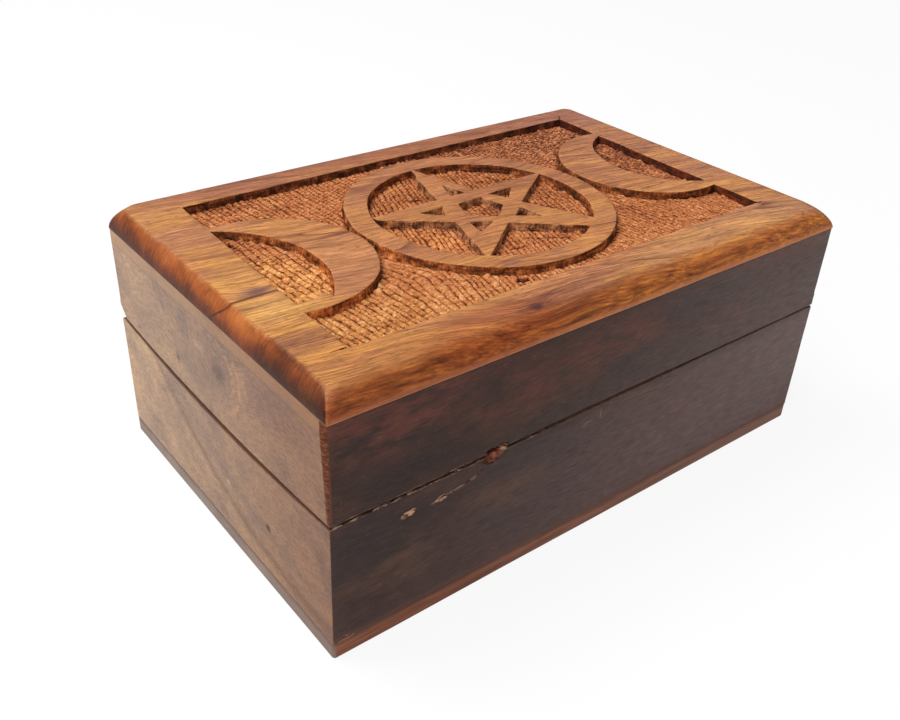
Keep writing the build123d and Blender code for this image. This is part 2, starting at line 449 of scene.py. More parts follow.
def field_floor(points):
    """Height of the sunk floor, how dark it is, and its place among the rows and strokes."""
    across, along = gouge_rows(points)
    row = np.floor(across)
    shifted = along + row * row_shift * 4
    stroke = np.floor(shifted)
    phase, part = across - row, shifted - stroke
    force = lattice_noise(rows(row * 0.61 + 0.17, stroke * 0.83 + 0.4), 6)
    rough = smooth(points[:, 0] + 30 * fractal(points, (16, 11), 3, 31), -20, 30)
    patchy = fractal(points, (1.8, 2.4), 3, 8)
    row_cut = row_cut_depth * np.clip(0.8 + 0.7 * patchy, 0.2, 1.3) * (1.1 - 0.5 * rough)
    stroke_cut = stroke_cut_depth * np.clip(0.6 + force + 0.5 * patchy, 0, 1.5)
    stroke_cut *= 1 + 0.8 * smooth(points[:, 1], -5, 15) * (1 - rough)
    cut = np.maximum(row_cut * line_between(across, 0.14), stroke_cut * line_between(shifted, 0.12))
    rib = (rib_height - 0.05 * rough) * (1 - (2 * phase - 1) ** 2) + 0.08 * (phase - 0.5)
    scoop = scoop_depth * (0.5 - part) * np.clip(1 + force, 0.3, 2)
    torn = np.clip(fractal(points, (2.2, 1.4), 3, 51) - 0.34, 0, 1) * (0.4 + 0.4 * rough)
    fibres = fractal(points, (1.0, 0.8), 3, 41)
    shape = rib + scoop + force_height * force + (0.05 + 0.11 * rough) * fibres
    gashed, splintered = near_strokes(points, gashes, 27), near_strokes(points, splinters, 28)
    depth = field_depth + depth_spread * fractal(points, (26, 20), 2, 61)
    height = box_top - depth + shape - cut - torn
    height += splinter_height * splintered - gash_depth * gashed
    dark = np.clip(0.9 * torn + 1.2 * gashed, 0, 1) - 0.35 * splintered
    return height, dark, across, along


def triangulate(pairs, loose_points):
    """Flat triangles with an edge along each pair of points: their points, and the triangles."""
    edges = [(2 * k, 2 * k + 1) for k in range(len(pairs))]
    points = [Vector(point) for point in np.concatenate([pairs.reshape(-1, 2), loose_points])]
    made = delaunay_2d_cdt(points, edges, [], 1, 1e-4, False)
    return np.array([point[:] for point in made[0]]), np.array(made[2])


def hex_points(low, high, step, seed):
    """Loose points over a rectangle, a little out of their regular places."""
    ys = np.arange(low[1], high[1], step * 0.87)
    xs = np.arange(low[0], high[0], step)
    x, y = np.meshgrid(xs, ys)
    x = x + (np.arange(len(ys)) % 2)[:, None] * step / 2
    points = rows(x.ravel(), y.ravel())
    return points + np.random.default_rng(seed).uniform(-0.17, 0.17, points.shape) * step


def distances(points, marks):
    """Distance of each point from the nearest of the marks."""
    tree = kdtree.KDTree(len(marks))
    for number, mark in enumerate(marks):
        tree.insert((*mark, 0), number)
    tree.balance()
    return np.array([tree.find((*point, 0))[2] for point in points])


# Steps down a carved wall: how far it stands out from the outline, and its share of the depth
wall_profile = [(-0.2, 0.0), (-0.06, 0.02), (0.02, 0.1), (0.07, 0.38), (0.12, 0.68), (0.22, 1.0)]


def carved_top(crease_low, crease_high):
    """Top of the panel inside its creases: points, faces, and the marks of its points."""
    carving = Carving()
    edges = carving.edges()
    border = polygon([
        tuple(crease_low), (crease_high[0], crease_low[1]),
        tuple(crease_high), (crease_low[0], crease_high[1]),
    ])
    lines = edges.reshape(-1, 2)
    fine = hex_points(field_low, field_high, floor_step, 1)
    fine = fine[carving.sunk(fine)]
    fine = fine[distances(fine, lines) > floor_clearance]
    coarse = hex_points(crease_low, crease_high, top_step, 2)
    from_low, to_high = coarse - crease_low, crease_high - coarse
    coarse = coarse[np.minimum(from_low, to_high).min(axis=1) > crease_clearance]
    coarse = coarse[~carving.sunk(coarse)]
    coarse = coarse[distances(coarse, lines) > top_clearance]
    pairs = np.concatenate([to_pairs(border), edges])
    plan, triangles = triangulate(pairs, np.concatenate([fine, coarse]))

    low = carving.sunk(plan[triangles].mean(axis=1))
    edges = np.concatenate([triangles[:, [0, 1]], triangles[:, [1, 2]], triangles[:, [2, 0]]])
    edge_low = np.tile(low, 3)
    keys = edges.min(axis=1) * len(plan) + edges.max(axis=1)
    rim_edges = edges[~edge_low][np.isin(keys[~edge_low], keys[edge_low])]
    rim = np.unique(rim_edges)
    rim_number = np.full(len(plan), -1)
    rim_number[rim] = np.arange(len(rim))

    out = np.zeros_like(plan)
    run = plan[rim_edges[:, 1]] - plan[rim_edges[:, 0]]
    aside = rows(run[:, 1], -run[:, 0])
    for end in (0, 1):
        np.add.at(out, rim_edges[:, end], aside)
    out = out[rim] / np.maximum(np.linalg.norm(out[rim], axis=1), 1e-6)[:, None]

    floor_height, floor_dark, across, along = field_floor(plan)
    to_line = distances(plan, lines)
    rubble = np.clip(fractal(plan, (1.7, 1.7), 3, 75), -0.2, 1)
    floor_height += (0.9 * rubble - 0.15) * np.exp(-((to_line - 0.3) / 0.5) ** 2)
    floor_height = np.where(carving.nicked(plan), box_top - overcut_depth, floor_height)
    top_height = box_top - top_drop + top_waves * fractal(plan, (20, 8), 3, 71)
    low_points = np.zeros(len(plan), bool)
    low_points[triangles[low]] = True
    low_points[rim] = False
    points = [rows(*plan.T, np.where(low_points, floor_height, top_height))]
    # Floor points near a wall take the wall mark, so the wall's dark colour spreads over them as a ragged
    # band of painted shade along the wall's foot.
    ragged = 0.2 + 1.4 * np.clip(fractal(plan, (2.2, 2.2), 3, 73), 0, 1)
    walls = [np.where(low_points, np.clip(1 - (to_line - 0.15) / ragged, 0, 1), 0)]
    darks = [np.where(low_points, floor_dark, 0)]
    sinks = [low_points.astype(float)]

    rim_plan = plan[rim]
    foot = floor_height[rim]
    beside = carving.nicked(rim_plan + 0.1 * out)
    foot = np.where(beside, box_top - overcut_depth, foot)
    drop = top_height[rim] - foot
    narrow = np.where(beside, 0.2, 1.0)
    streak = lattice_noise(rim_plan / 0.8, 81) + 0.6 * lattice_noise(rim_plan / 2.7, 82)
    for stand, share in wall_profile:
        chisel = 0.2 * streak * (0.2 < share < 0.9) + 0.05 * streak * (share == 1)
        place = rim_plan + out * (narrow * (stand + chisel))[:, None]
        points.append(rows(*place.T, top_height[rim] - share * drop))
        walls.append(np.full(len(rim), min(1.0, share * 12)))
        # The dark mark grows down each wall toward its foot: painted shade.
        darks.append(np.full(len(rim), 0.75 * share))
        sinks.append(np.full(len(rim), float(share == 1.0)))
    count = len(plan)
    steps = [
        np.where(rim_number >= 0, count + step * len(rim) + rim_number, np.arange(count))
        for step in range(len(wall_profile))
    ]
    faces = [steps[0][triangles[~low]], steps[-1][triangles[low]]]
    a, b = rim_edges.T
    for upper, lower in zip(steps, steps[1:]):
        faces.append(rows(upper[b], upper[a], lower[a], lower[b]).astype(int))
    marks = {"wall": np.concatenate(walls), "dark": np.concatenate(darks), "sunk": np.concatenate(sinks)}
    for mark, values in (("across", across), ("along", along)):
        marks[mark] = np.concatenate([values] + [values[rim]] * len(wall_profile))
    return np.concatenate(points), faces, marks, border


def edge_inset(share, crease):
    """How far the panel's rounded edge lies inside the box at a share of its height."""
    height = box_top - panel_base
    radius = (crease**2 + height**2) / (2 * crease)
    return radius - np.sqrt(radius**2 - (share * height) ** 2)


def corner_radii(share):
    """Radii of the panel's corners at a share of its height."""
    return {corner: 0.3 + radius * share**1.4 for corner, radius in corner_rounding.items()}


def rounded_edges(border, crease_low, crease_high):
    """Rounded edges of the panel, from its creases down to the boards, and its underside."""
    shares = spread((0, 0.02), (0.06, 0.08), (1, 0))
    half_sizes = np.array([half_length, half_width])
    points, faces = [], []
    across = (border - crease_low) / (crease_high - crease_low)
    out = (across == 1).astype(float) - (across == 0)
    for share in shares:
        lip = 0.07 * (1 - smooth(share, 0, 0.04))
        low = lip + edge_inset(share, np.array([crease_left, crease_front])) - half_sizes
        high = half_sizes - edge_inset(share, np.array([crease_right, crease_back])) - lip
        z = panel_base + share * (box_top - panel_base)
        plan = low + (high - low) * across
        worn = 0.05 * (fractal(rows(*plan.T, z), (9, 9, 3), 3, 91) - 1) * (share < 1)
        plan = plan + out * worn[:, None]
        x, y = round_corners(*plan.T, low, high, corner_radii(share))
        points.append(rows(x, y, z - top_drop * share))
    count = len(border)
    around = np.arange(count)
    after = (around + 1) % count
    for step in range(len(shares) - 1):
        here, above = step * count, (step + 1) * count
        faces.append(rows(here + around, here + after, above + after, above + around).astype(int))
    faces.append(around[None, ::-1])
    return np.concatenate(points), faces


def carved_panel():
    """The lid's top panel, with its carving and its rounded edges."""
    crease_low = np.array([-half_length + crease_left, -half_width + crease_front])
    crease_high = np.array([half_length - crease_right, half_width - crease_back])
    top, top_faces, marks, border = carved_top(crease_low, crease_high)
    sides, side_faces = rounded_edges(border, crease_low, crease_high)
    from_crease = np.minimum(np.abs(top[:, :2] - crease_low), np.abs(top[:, :2] - crease_high))
    top[from_crease.min(axis=1) < 1e-3, 2] = box_top - top_drop
    top[:, 0], top[:, 1] = round_corners(*top[:, :2].T, crease_low, crease_high, corner_radii(1))
    points = np.concatenate([top, sides])
    marks = {name: np.concatenate([values, np.zeros(len(sides))]) for name, values in marks.items()}
    faces = top_faces + [face + len(top) for face in side_faces]
    return make_piece("carved_panel", points, faces, marks, 0.002)


# Boards

def end_sag(x, y, side, sag):
    """How far the saw cut sags along one end of the box, most in the end's middle."""
    near_end = np.clip((side * x - half_length + sag_reach) / sag_reach, 0, 1)
    return sag * (1 - (y / half_width) ** 2) * near_end


def seam_shift(x, y, in_lid):
    """How far a sawn rim strays from its nominal height over a place in plan."""
    climb = front_climb * (x + half_length) / (2 * half_length) * smooth(-y, -30, 40)
    shift = climb - end_sag(x, y, -1, left_sag) - end_sag(x, y, 1, right_sag)
    if in_lid:
        return shift + front_gape * np.exp(-(((x - gape_x) / gape_reach) ** 2)) * smooth(-y, 30, 40)
    return shift - end_sag(x, y, -1, base_extra_sag)


def at_hinges(x, half):
    """Whether a place along the back lies within half a length of a hinge's middle."""
    return np.abs(np.abs(x) - hinge_x) < half


# Height of a cut where there is none, far beyond the rims
nowhere = -9


def rim_height(x, y, in_lid):
    """Height of a sawn rim, with its bevel and the seats of the hinges."""
    rim, bevel_depth, bevel_height, up = base_rim, base_bevel_depth, base_bevel_height, -1
    if in_lid:
        rim, bevel_depth, bevel_height, up = lid_rim, lid_bevel_depth, lid_bevel_height, 1
    cut = up * (rim + seam_shift(x, y, in_lid))
    cut = np.maximum(cut, up * rim + bevel_height * (1 - (half_width - y) / bevel_depth))
    seat = np.where(at_hinges(x, leaf_room_half) & (y > leaf_room_front), leaf_thickness, nowhere)
    cut = np.maximum(cut, up * rim + seat)
    reach = groove_radius**2 - (y - hinge_y) ** 2
    groove = np.sqrt(np.clip(reach, 0, None))
    groove = np.where(at_hinges(x, groove_half) & (reach > 0), groove, nowhere)
    return up * np.maximum(cut, up * hinge_z + groove)


# Damage on the front: the torn chip beside the saw cut, below and above it, two small chips, a
# nick at the foot, and the crack between the chips. Each chip has its centre, half sizes and depth
chips = [
    ((-35.3, 34.9), (4.2, 1.15), 1.1), ((-34.9, 36.6), (3.1, 0.85), 2.4),
    ((-49.8, 30.4), (2.3, 0.6), 0.4), ((-58.0, 30.2), (2.0, 0.75), 0.4),
    ((-72.6, 4.5), (2.6, 0.45), 0.4),
]
crack = [(-38.4, 33.2), (-41.2, 31.6), (-44.5, 31.0), (-48.0, 30.7), (-52.0, 30.0)]
crack_width, crack_depth = 0.22, 0.45


def front_damage(x, z):
    """Depth of the damage on the front, and how fresh the bared wood is."""
    place = rows(x, z)
    depth, fresh = np.zeros(len(x)), np.zeros(len(x))
    for (cx, cz), (half_x, half_z), deep in chips:
        tilt = 0.28 * (x - cx) / half_x * half_z
        reach = np.hypot((x - cx) / half_x, (z - cz - tilt) / half_z)
        torn = 1 - smooth(reach + 0.7 * fractal(place, (1.5, 0.9), 3, 7), 0.75, 1.05)
        depth = np.maximum(depth, deep * torn * (0.75 + 0.5 * fractal(place, (1.2, 0.7), 2, 9)))
        fresh = np.maximum(fresh, torn)
    waver = 0.3 * fractal(place, (2.5, 2.5), 2, 17)
    split = np.exp(-((to_path(rows(x, z + waver), crack) / crack_width) ** 2))
    return np.maximum(depth, crack_depth * split), np.maximum(fresh, 0.7 * split)


def no_damage(x, z):
    """Depth and freshness of no damage at all."""
    return np.zeros(len(x)), np.zeros(len(x))


def lid_corner_radius(corner, z):
    """Radius of an upright edge of the boards; the lid's front left one is sanded off."""
    if corner == (-1, -1):
        return 0.35 + 2.6 * smooth(z, 34, 60)
    return np.where(z > 40, 0.9, 0.6)


def foot_corner_radius(corner, z):
    """Radius of an upright edge of the bottom board; its front left one is the sharpest."""
    return np.full(len(z), 0.8 if corner == (-1, -1) else 1.0)


def board(name, in_lid, along, side, stations, depths, damage):
    """Mitred board: along is the axis of its length, side the side of the box it is on."""
    rim, root = (lid_rim, panel_base) if in_lid else (base_rim, bottom_top)
    to_rim = -1 if in_lid else 1
    height = abs(rim - root)
    rises = spread((0, 0.12), (0.4, 0.8), (height - 6.5, 0.3), (height - 0.6, 0.12), (height, 0))
    points, faces = lattice(stations, depths, rises)
    run, depth, rise = points.T
    own_half, other_half = half_length, half_width
    if along == "y":
        own_half, other_half = half_width, half_length
    seed = sum(map(ord, name))

    wear = fractal(rows(run, rise), (5, 5), 3, seed)
    depth, from_rim = eased(depth, height - rise, outer_rim_radius + outer_rim_spread * wear)
    from_inner, from_rim = eased(wall - depth, from_rim, np.full(len(run), inner_rim_radius))
    depth, rise = eased(wall - from_inner, height - from_rim, np.full(len(run), joint_radius))
    outside = np.clip(1 - depth / 3, 0, 1)
    depth = depth + outside * board_waves * (1 + fractal(rows(run, rise), (16, 5), 4, seed + 7))

    straight = own_half - 2 * wall
    over = np.clip(np.abs(run) - straight, 0, None)
    kept = (own_half - depth - straight) / (own_half - straight)
    run = np.sign(run) * (np.minimum(np.abs(run), straight) + over * kept)
    x, y = (run, side * (other_half - depth)) if along == "x" else (side * (other_half - depth), run)
    z = root + to_rim * rise
    follow = np.where(rise > height - 0.7, 1.0, smooth(rise / height, 0.4, 0.98))
    z = z + (rim_height(x, y, in_lid) - rim) * follow
    frayed = smooth(rise, height - 0.5, height) * smooth(-x, 0, 30) * (side < 0) * outside
    z = z + fray_height * frayed * fractal(rows(x, y), (1.1, 0.8), 3, 33 + in_lid)
    dent, fresh = damage(x, z)
    y = y + dent * outside * (along == "x")
    points = ease_upright_edges(rows(x, y, z), lid_corner_radius)
    marks = {"fresh": fresh * (outside > 0.2), "sawn": smooth(rise, height - 0.5, height)}
    return make_piece(name, points, faces, marks)


# Places along the boards, close together at corners, chips and hinges
plain_depths = spread((0, 0.12), (0.6, 0.9), (wall - 0.6, 0.2), (wall, 0))
end_stations = spread(
    (-half_width, 0.15), (-half_width + 2.1, 0.6), (half_width - 5, 0.3), (half_width, 0)
)
front_stations = spread(
    (-half_length, 0.15), (-half_length + 2.1, 0.6), (-62, 0.22), (-30, 0.6),
    (half_length - 1.2, 0.15), (half_length, 0),
)


# Half the gap between a pair of places, which keeps a step between them upright
pair_gap = 0.015


def back_stations():
    """Stations of a back board, with a pair at each end of the seats and grooves."""
    edges = [
        side * hinge_x + end * half
        for side, end, half in product((-1, 1), (-1, 1), (leaf_room_half, groove_half))
    ]
    pairs = [edge + nudge for edge in edges for nudge in (-pair_gap, pair_gap)]
    plain = spread_both_ways(half_length, 1.2, 0.15, 0.9)
    return np.unique(np.concatenate([plain, pairs]))


def back_depths():
    """Depths of a back board, fine over the bevel and paired at the front of the seats."""
    seat = half_width - leaf_room_front
    plain = spread((0, 0.15), (4.4, 0.7), (seat - 0.3, 0.2), (wall, 0))
    return np.unique(np.concatenate([plain, [seat - pair_gap, seat + pair_gap]]))


def ease_edge(span, half, side, level, radius):
    """Rounds the edge where level is 0 at the end of a span, on one side of the middle."""
    here = side * span > 0
    from_end, moved = eased(half - side * span, level, radius)
    return np.where(here, side * (half - from_end), span), np.where(here, moved, level)


def bottom_board():
    """Bottom board, a little rounded along its lower edges."""
    stations, depths = (spread_both_ways(half, 2.4, 0.2, 1.4) for half in (half_length, half_width))
    rises = spread((0, 0.15), (0.9, 0.35), (bottom_top - 0.3, 0.1), (bottom_top, 0))
    points, faces = lattice(stations, depths, rises)
    x, y, z = points.T
    lower = foot_radius + foot_spread * fractal(rows(x, y), (30, 30), 3, 19)
    upper = np.full(len(x), joint_radius)
    for side in (-1, 1):
        for radius, up in ((lower, 1), (upper, -1)):
            level = z if up == 1 else bottom_top - z
            x, level = ease_edge(x, half_length, side, level, radius)
            y, level = ease_edge(y, half_width, side, level, radius)
            z = level if up == 1 else bottom_top - level
    dent, fresh = front_damage(x, z)
    near_front = np.clip(1 - (y + half_width) / 2, 0, 1)
    points = ease_upright_edges(rows(x, y + dent * near_front, z), foot_corner_radius)
    return make_piece("bottom_board", points, faces, {"fresh": fresh * near_front})


# Finishes

# Size of the slow waves in the grain
sway_size = 45.0


class Value:
    """What a node gives. Arithmetic with it adds the nodes that work it out."""

    def __init__(self, nodes, socket):
        self.nodes, self.socket = nodes, socket

    def __add__(self, other):
        return self.nodes.math("ADD", self, other)

    __radd__ = __add__

    def __sub__(self, other):
        return self.nodes.math("SUBTRACT", self, other)

    def __rsub__(self, other):
        return self.nodes.math("SUBTRACT", other, self)

    def __mul__(self, other):
        """Product with a number, or of a colour with a factor for each channel."""
        work = self.nodes.vector if isinstance(other, tuple) else self.nodes.math
        return work("MULTIPLY", self, other)

    def __truediv__(self, other):
        return self.nodes.math("DIVIDE", self, other)

    def __pow__(self, other):
        return self.nodes.math("POWER", self, other)

    def __abs__(self):
        return self.nodes.math("ABSOLUTE", self)


class Nodes:
    """Node tree of a material or of the world, with a short call for each kind of node."""

    def __init__(self, owner, output):
        owner.use_nodes = True
        self.owner, self.tree = owner, owner.node_tree
        self.tree.nodes.clear()
        self.output = self.tree.nodes.new(output)

    def put(self, socket, value):
        """Links a socket to a value of another node, or sets its number or colour."""
        if isinstance(value, Value):
            self.tree.links.new(value.socket, socket)
        else:
            socket.default_value = value

    def add(self, kind, inputs, output=0, **settings):
        """Adds a node with its settings and its inputs, and gives one of its outputs."""
        node = self.tree.nodes.new("ShaderNode" + kind)
        for name, setting in settings.items():
            setattr(node, name, setting)
        for name, value in inputs.items():
            self.put(node.inputs[name], value)
        return Value(self, node.outputs[output])

    def surface(self, shader):
        """Ends the tree with a shader, and gives the tree's owner."""
        self.put(self.output.inputs["Surface"], shader)
        return self.owner

    def math(self, operation, *values):
        return self.add("Math", dict(enumerate(values)), operation=operation)

    def vector(self, operation, *values):
        """Work on vectors or colours, which gives a vector, or a number for a length."""
        output = "Value" if operation == "LENGTH" else "Vector"
        return self.add("VectorMath", dict(enumerate(values)), output, operation=operation)

    def stretch(self, vector, amount):
        return self.add("VectorMath", {"Vector": vector, "Scale": amount}, operation="SCALE")

    def join(self, x, y, z):
        return self.add("CombineXYZ", {"X": x, "Y": y, "Z": z})

    def remap(self, value, low, high, to_low=0.0, to_high=1.0):
        """Smooth climb from to_low at low to to_high at high, and level beyond."""
        inputs = dict(enumerate((value, low, high, to_low, to_high)))
        return self.add("MapRange", inputs, interpolation_type="SMOOTHSTEP")

    def ramp(self, value, *stops):
        """Colours along a value; each stop is a place and a linear colour."""
        colour = self.add("ValToRGB", {"Fac": value})
        elements = colour.socket.node.color_ramp.elements
        while len(elements) < len(stops):
            elements.new(0.5)
        for element, (place, stop_colour) in zip(elements, stops):
            element.position = place
            element.color = (*stop_colour, 1)
        return colour

    def mix(self, share, first, second):
        """Colour between two others. Of a mix node's inputs, 0, 6 and 7 are those of colours."""
        first, second = ((*c, 1) if isinstance(c, tuple) else c for c in (first, second))
        inputs = {0: share, 6: first, 7: second}
        return self.add("Mix", inputs, 2, data_type="RGBA", clamp_factor=True)

    def tint(self, share, colour, factors):
        """Colour with a share of itself multiplied by a factor for each channel."""
        return self.mix(share, colour, colour * factors)

    def scale(self, colour, amount):
        """Colour multiplied by a number that varies."""
        return self.vector("MULTIPLY", colour, self.join(amount, amount, amount))


class Finish(Nodes):
    """Material whose colours and relief are worked out from places on the object."""

    def __init__(self, name):
        super().__init__(bpy.data.materials.new(name), "ShaderNodeOutputMaterial")
        self.place = self.stretch(self.add("TexCoord", {}, "Object"), 1 / MM)
        self.axes = [self.add("SeparateXYZ", {0: self.place}, axis) for axis in range(3)]

    def noise(self, size, detail=3.0, roughness=0.5, distortion=0.0, place=None):
        """Noise around 0.5; size is in millimetres, one for each axis."""
        return self.add("TexNoise", {
            "Vector": self.vector("DIVIDE", place or self.place, size), "Scale": 1.0,
            "Detail": detail, "Roughness": roughness, "Distortion": distortion,
        }, "Fac")

    def lay_grain(self, axis, lean=0.0, sway=3.0, knots=()):
        """Sets the coordinates of wood: the first with the grain, the others across it."""
        x, y, z = self.axes
        along, across, third = (x, y, z) if axis == "x" else (y, z, x)
        bend = (self.noise((sway_size, sway_size, sway_size), 2.0) - 0.5) * (2 * sway)
        across = across + bend + along * lean
        for centre, sizes, push in knots:
            across += self.spot(centre, sizes, 0.95) * push
        self.wood = self.join(along, across, third)

    def streaks(self, width, length, detail=3.0, distortion=0.3):
        """Noise drawn out along the grain."""
        return self.noise((length, width, width), detail, 0.55, distortion, place=self.wood)

    def growth_lines(self, width, count):
        """Thin dark lines along the grain, each fading in slowly and ending sharply."""
        year = self.math("FRACT", self.streaks(width, 90, 2.0, 0.5) * count)
        return self.remap(year, 0.55, 0.96) * self.remap(year, 0.96, 1.0, 1.0, 0.0)

    def mark(self, name):
        """Value of one of a mesh's marks."""
        return self.add("Attribute", {}, "Fac", attribute_name=name)

    def spot(self, centre, sizes, edge=0.5, place=None):
        """1 in an ellipsoid with half sizes, 0 outside it, soft over its outer share."""
        reach = self.vector("DIVIDE", self.vector("SUBTRACT", place or self.place, centre), sizes)
        return self.remap(self.vector("LENGTH", reach), 1 - edge, 1 + edge, 1.0, 0.0)

    def band(self, value, half):
        """1 where a value is 0, fading to 0 at half either way."""
        return self.remap(abs(value), 0.0, half, 1.0, 0.0)

    def folded(self, value):
        """Distance of a value from the nearest whole number."""
        return self.math("PINGPONG", value, 0.5)

    def random(self, first, second):
        """Random number for each pair of whole numbers."""
        pair = self.join(first, second, 0.0)
        return self.add("TexWhiteNoise", {"Vector": pair}, "Value", noise_dimensions="2D")

    def finish(self, colour, roughness, relief, depth, gloss=0.5, metallic=0.0):
        """Ends the material; depth is the height in millimetres that 1 of relief stands for."""
        normal = self.add("Bump", {"Strength": 1.0, "Distance": depth * MM, "Height": relief})
        return self.surface(self.add("BsdfPrincipled", {
            "Base Color": colour, "Roughness": roughness, "Normal": normal,
            "Specular IOR Level": gloss, "Metallic": metallic,
        }))


def polished_top(f):
    """Golden brown of the panel's flat top: its colour, and its fine relief."""
    broad = f.streaks(8.0, 60, 3.0, 0.8)
    colour = f.ramp(
        broad, (0.34, (0.42, 0.168, 0.068)), (0.47, (0.57, 0.236, 0.074)),
        (0.58, (0.68, 0.3, 0.08)), (0.74, (0.79, 0.38, 0.098)),
    )
    rosy = f.remap(f.noise((30, 16, 16), 3.0), 0.44, 0.66)
    colour = f.mix(rosy * 0.45, colour, (0.45, 0.19, 0.118))
    x, y, _ = f.axes
    colour = f.mix(f.remap(x * 0.25 + y, -10, 60, 0.0, 0.5), colour, (0.42, 0.17, 0.105))
    colour = f.tint(f.remap(x, 15, 50), colour, (1.0, 1.0, 1.2))
    for centre, sizes, share, tint in (
        ((-66.5, -16.0), (8.0, 5.5), 0.45, (0.84, 0.47, 0.15)),
        ((-70.5, -28.5), (5.5, 2.6), 0.5, (0.27, 0.11, 0.06)),
        ((-68.0, -3.0), (7.0, 9.0), 0.3, (0.86, 0.44, 0.13)),
        ((-40.0, -42.0), (34.0, 5.0), 0.45, (0.43, 0.16, 0.055)),
        ((38.0, -41.0), (30.0, 5.0), 0.3, (0.84, 0.46, 0.16)),
        ((0.0, 45.5), (80.0, 6.0), 0.6, (0.34, 0.122, 0.08)),
        ((-38.0, 2.0), (18.0, 24.0), 0.22, (0.76, 0.34, 0.13)),
        ((6.0, 2.0), (50.0, 40.0), 0.45, (0.52, 0.19, 0.082)),
        ((-67.3, -8.0), (3.6, 2.0), 0.75, (0.29, 0.13, 0.105)),
        ((-66.8, -8.0), (2.0, 1.0), 0.6, (0.16, 0.075, 0.075)),
        ((-70.0, -9.6), (9.0, 0.45), 0.95, (0.13, 0.045, 0.026)),
        ((-14.7, -26.6), (2.2, 1.5), 0.6, (0.3, 0.12, 0.085)),
        ((-2.2, -28.2), (2.0, 1.2), 0.5, (0.3, 0.12, 0.085)),
        ((-23.4, -44.3), (1.5, 1.1), 0.9, (0.05, 0.026, 0.036)),
        ((-23.0, -44.5), (5.0, 1.3), 0.5, (0.15, 0.06, 0.045)),
        ((-14.0, -42.5), (10.0, 0.9), 0.5, (0.22, 0.085, 0.06)),
        ((-3.0, -46.2), (14.0, 1.3), 0.75, (0.13, 0.05, 0.042)),
    ):
        spot = f.spot((*centre, box_top), (*sizes, 3), 0.6)
        colour = f.mix(spot * share, colour, tint)
    middle = f.streaks(1.3, 34, 4.0, 0.4)
    colour = f.scale(colour, f.remap(middle, 0.3, 0.7, 0.89, 1.07))
    faded = f.remap(f.noise((22, 10, 10), 2.0), 0.42, 0.66, 0.12, 0.85)
    colour = f.mix(f.growth_lines(11.0, 9.0)**2.2 * faded, colour, (0.2, 0.07, 0.04))
    fine = f.streaks(0.34, 12, 5.0, 0.1)
    colour = f.scale(colour, f.remap(fine, 0.34, 0.66, 0.72, 1.23))
    hair = f.streaks(0.6, 6, 2.0, 0.1)
    colour = f.scale(colour, f.remap(hair, 0.42, 0.58, 0.89, 1.1))
    pores = f.remap(f.streaks(0.2, 2.2, 1.0, 0.0), 0.39, 0.32)
    colour = f.mix(pores * 0.6, colour, (0.17, 0.055, 0.028))
    return colour, fine - pores * 0.8


def gouged_floor(f):
    """Raw orange wood of the sunk field: its colour, and the relief of its gouge marks."""
    x, y, _ = f.axes
    shake = f.noise((1.2, 1.6, 1), 3.0, 0.6) - 0.5
    across = f.mark("across") + shake * 0.35
    along = f.mark("along") + shake * 0.5
    row = f.math("FLOOR", across)
    shifted = along + row * (row_shift * 4)
    stroke = f.math("FLOOR", shifted)
    patchy = f.noise((1.3, 2.2, 3), 3.0, 0.6)
    row_line = f.band(f.folded(across), 0.15) * f.remap(patchy, 0.4, 0.56, 0.1, 1.0)
    nick = f.noise((1.0, 0.34, 1), 2.0, 0.6)
    stroke_line = f.band(f.folded(shifted), 0.13) * f.remap(nick, 0.35, 0.55)
    stroke_line *= f.remap(y, -24, 8, 0.6, 1.0)
    # Painted light and shade across each row: lighter on the middle of the rib, darker toward the cuts.
    painted_rib_light = f.folded(across + 0.5)
    cell = f.random(row, stroke)
    fibre = f.noise((0.42, 0.7, 1), 4.0, 0.7)
    blotch = f.noise((9, 7, 8), 4.0)
    pits = f.remap(f.noise((0.8, 0.55, 1), 3.0, 0.6), 0.58, 0.7)
    coarse = f.noise((1.5, 1.1, 1), 3.0, 0.6, 0.4)
    # The row and stroke lines darken the tone along the cuts as painted shade; the dark mark brings torn
    # and gashed wood, and painted shade at the walls' feet.
    tone = 0.56
    for value, middle, weight in (
        (cell, 0.5, 0.12), (fibre, 0.5, 1.05), (coarse, 0.5, 0.75), (nick, 0.5, 0.45), (blotch, 0.5, 0.5),
        (painted_rib_light, 0.25, -0.26), (row_line, 0, -0.42), (stroke_line, 0, -0.26), (pits, 0, -0.26),
        (f.mark("dark"), 0, -0.5),
    ):
        tone += (value - middle) * weight
    tone += f.remap(y, -36, 5, 0.06, 0.0)
    far = f.remap(x + y, 28, 72)
    tone += far * ((coarse - 0.5) * 0.5 - 0.1)
    tone += f.remap(x, -10, 50, 0.0, -0.05)
    tone -= f.spot((*ring_inside[0], box_top), (26, 26, 60), 0.15) * 0.03
    colour = f.ramp(
        tone, (0.05, (0.045, 0.01, 0.004)), (0.25, (0.21, 0.056, 0.017)),
        (0.45, (0.48, 0.15, 0.045)), (0.65, (0.7, 0.26, 0.082)), (0.9, (0.96, 0.5, 0.21)),
    )
    golden = f.remap(x + y, -35, -90, 0.0, 0.8)
    colour = f.tint(golden, colour, (1.0, 1.16, 0.98))
    colour = f.tint(far, colour, (1.0, 1.05, 1.25))
    colour *= (0.96, 0.92, 1.0)
    for centre, sizes, tint in (
        ((-57.0, -4.0), (9.0, 11.0), (1.28, 1.46, 1.34)), ((-20.5, -5.0), (6.0, 8.0), (1.24, 1.32, 1.22)),
        ((46.0, 28.0), (14.0, 9.0), (1.14, 1.22, 1.28)),
    ):
        paler = f.spot((*centre, box_top), (*sizes, 30), 0.35)
        colour = f.tint(paler, colour, tint)
    height = fibre * 0.8 + nick * 0.5
    for line, depth in ((row_line, 0.9), (stroke_line, 0.6), (pits, 0.6)):
        height -= line * depth
    return colour, height


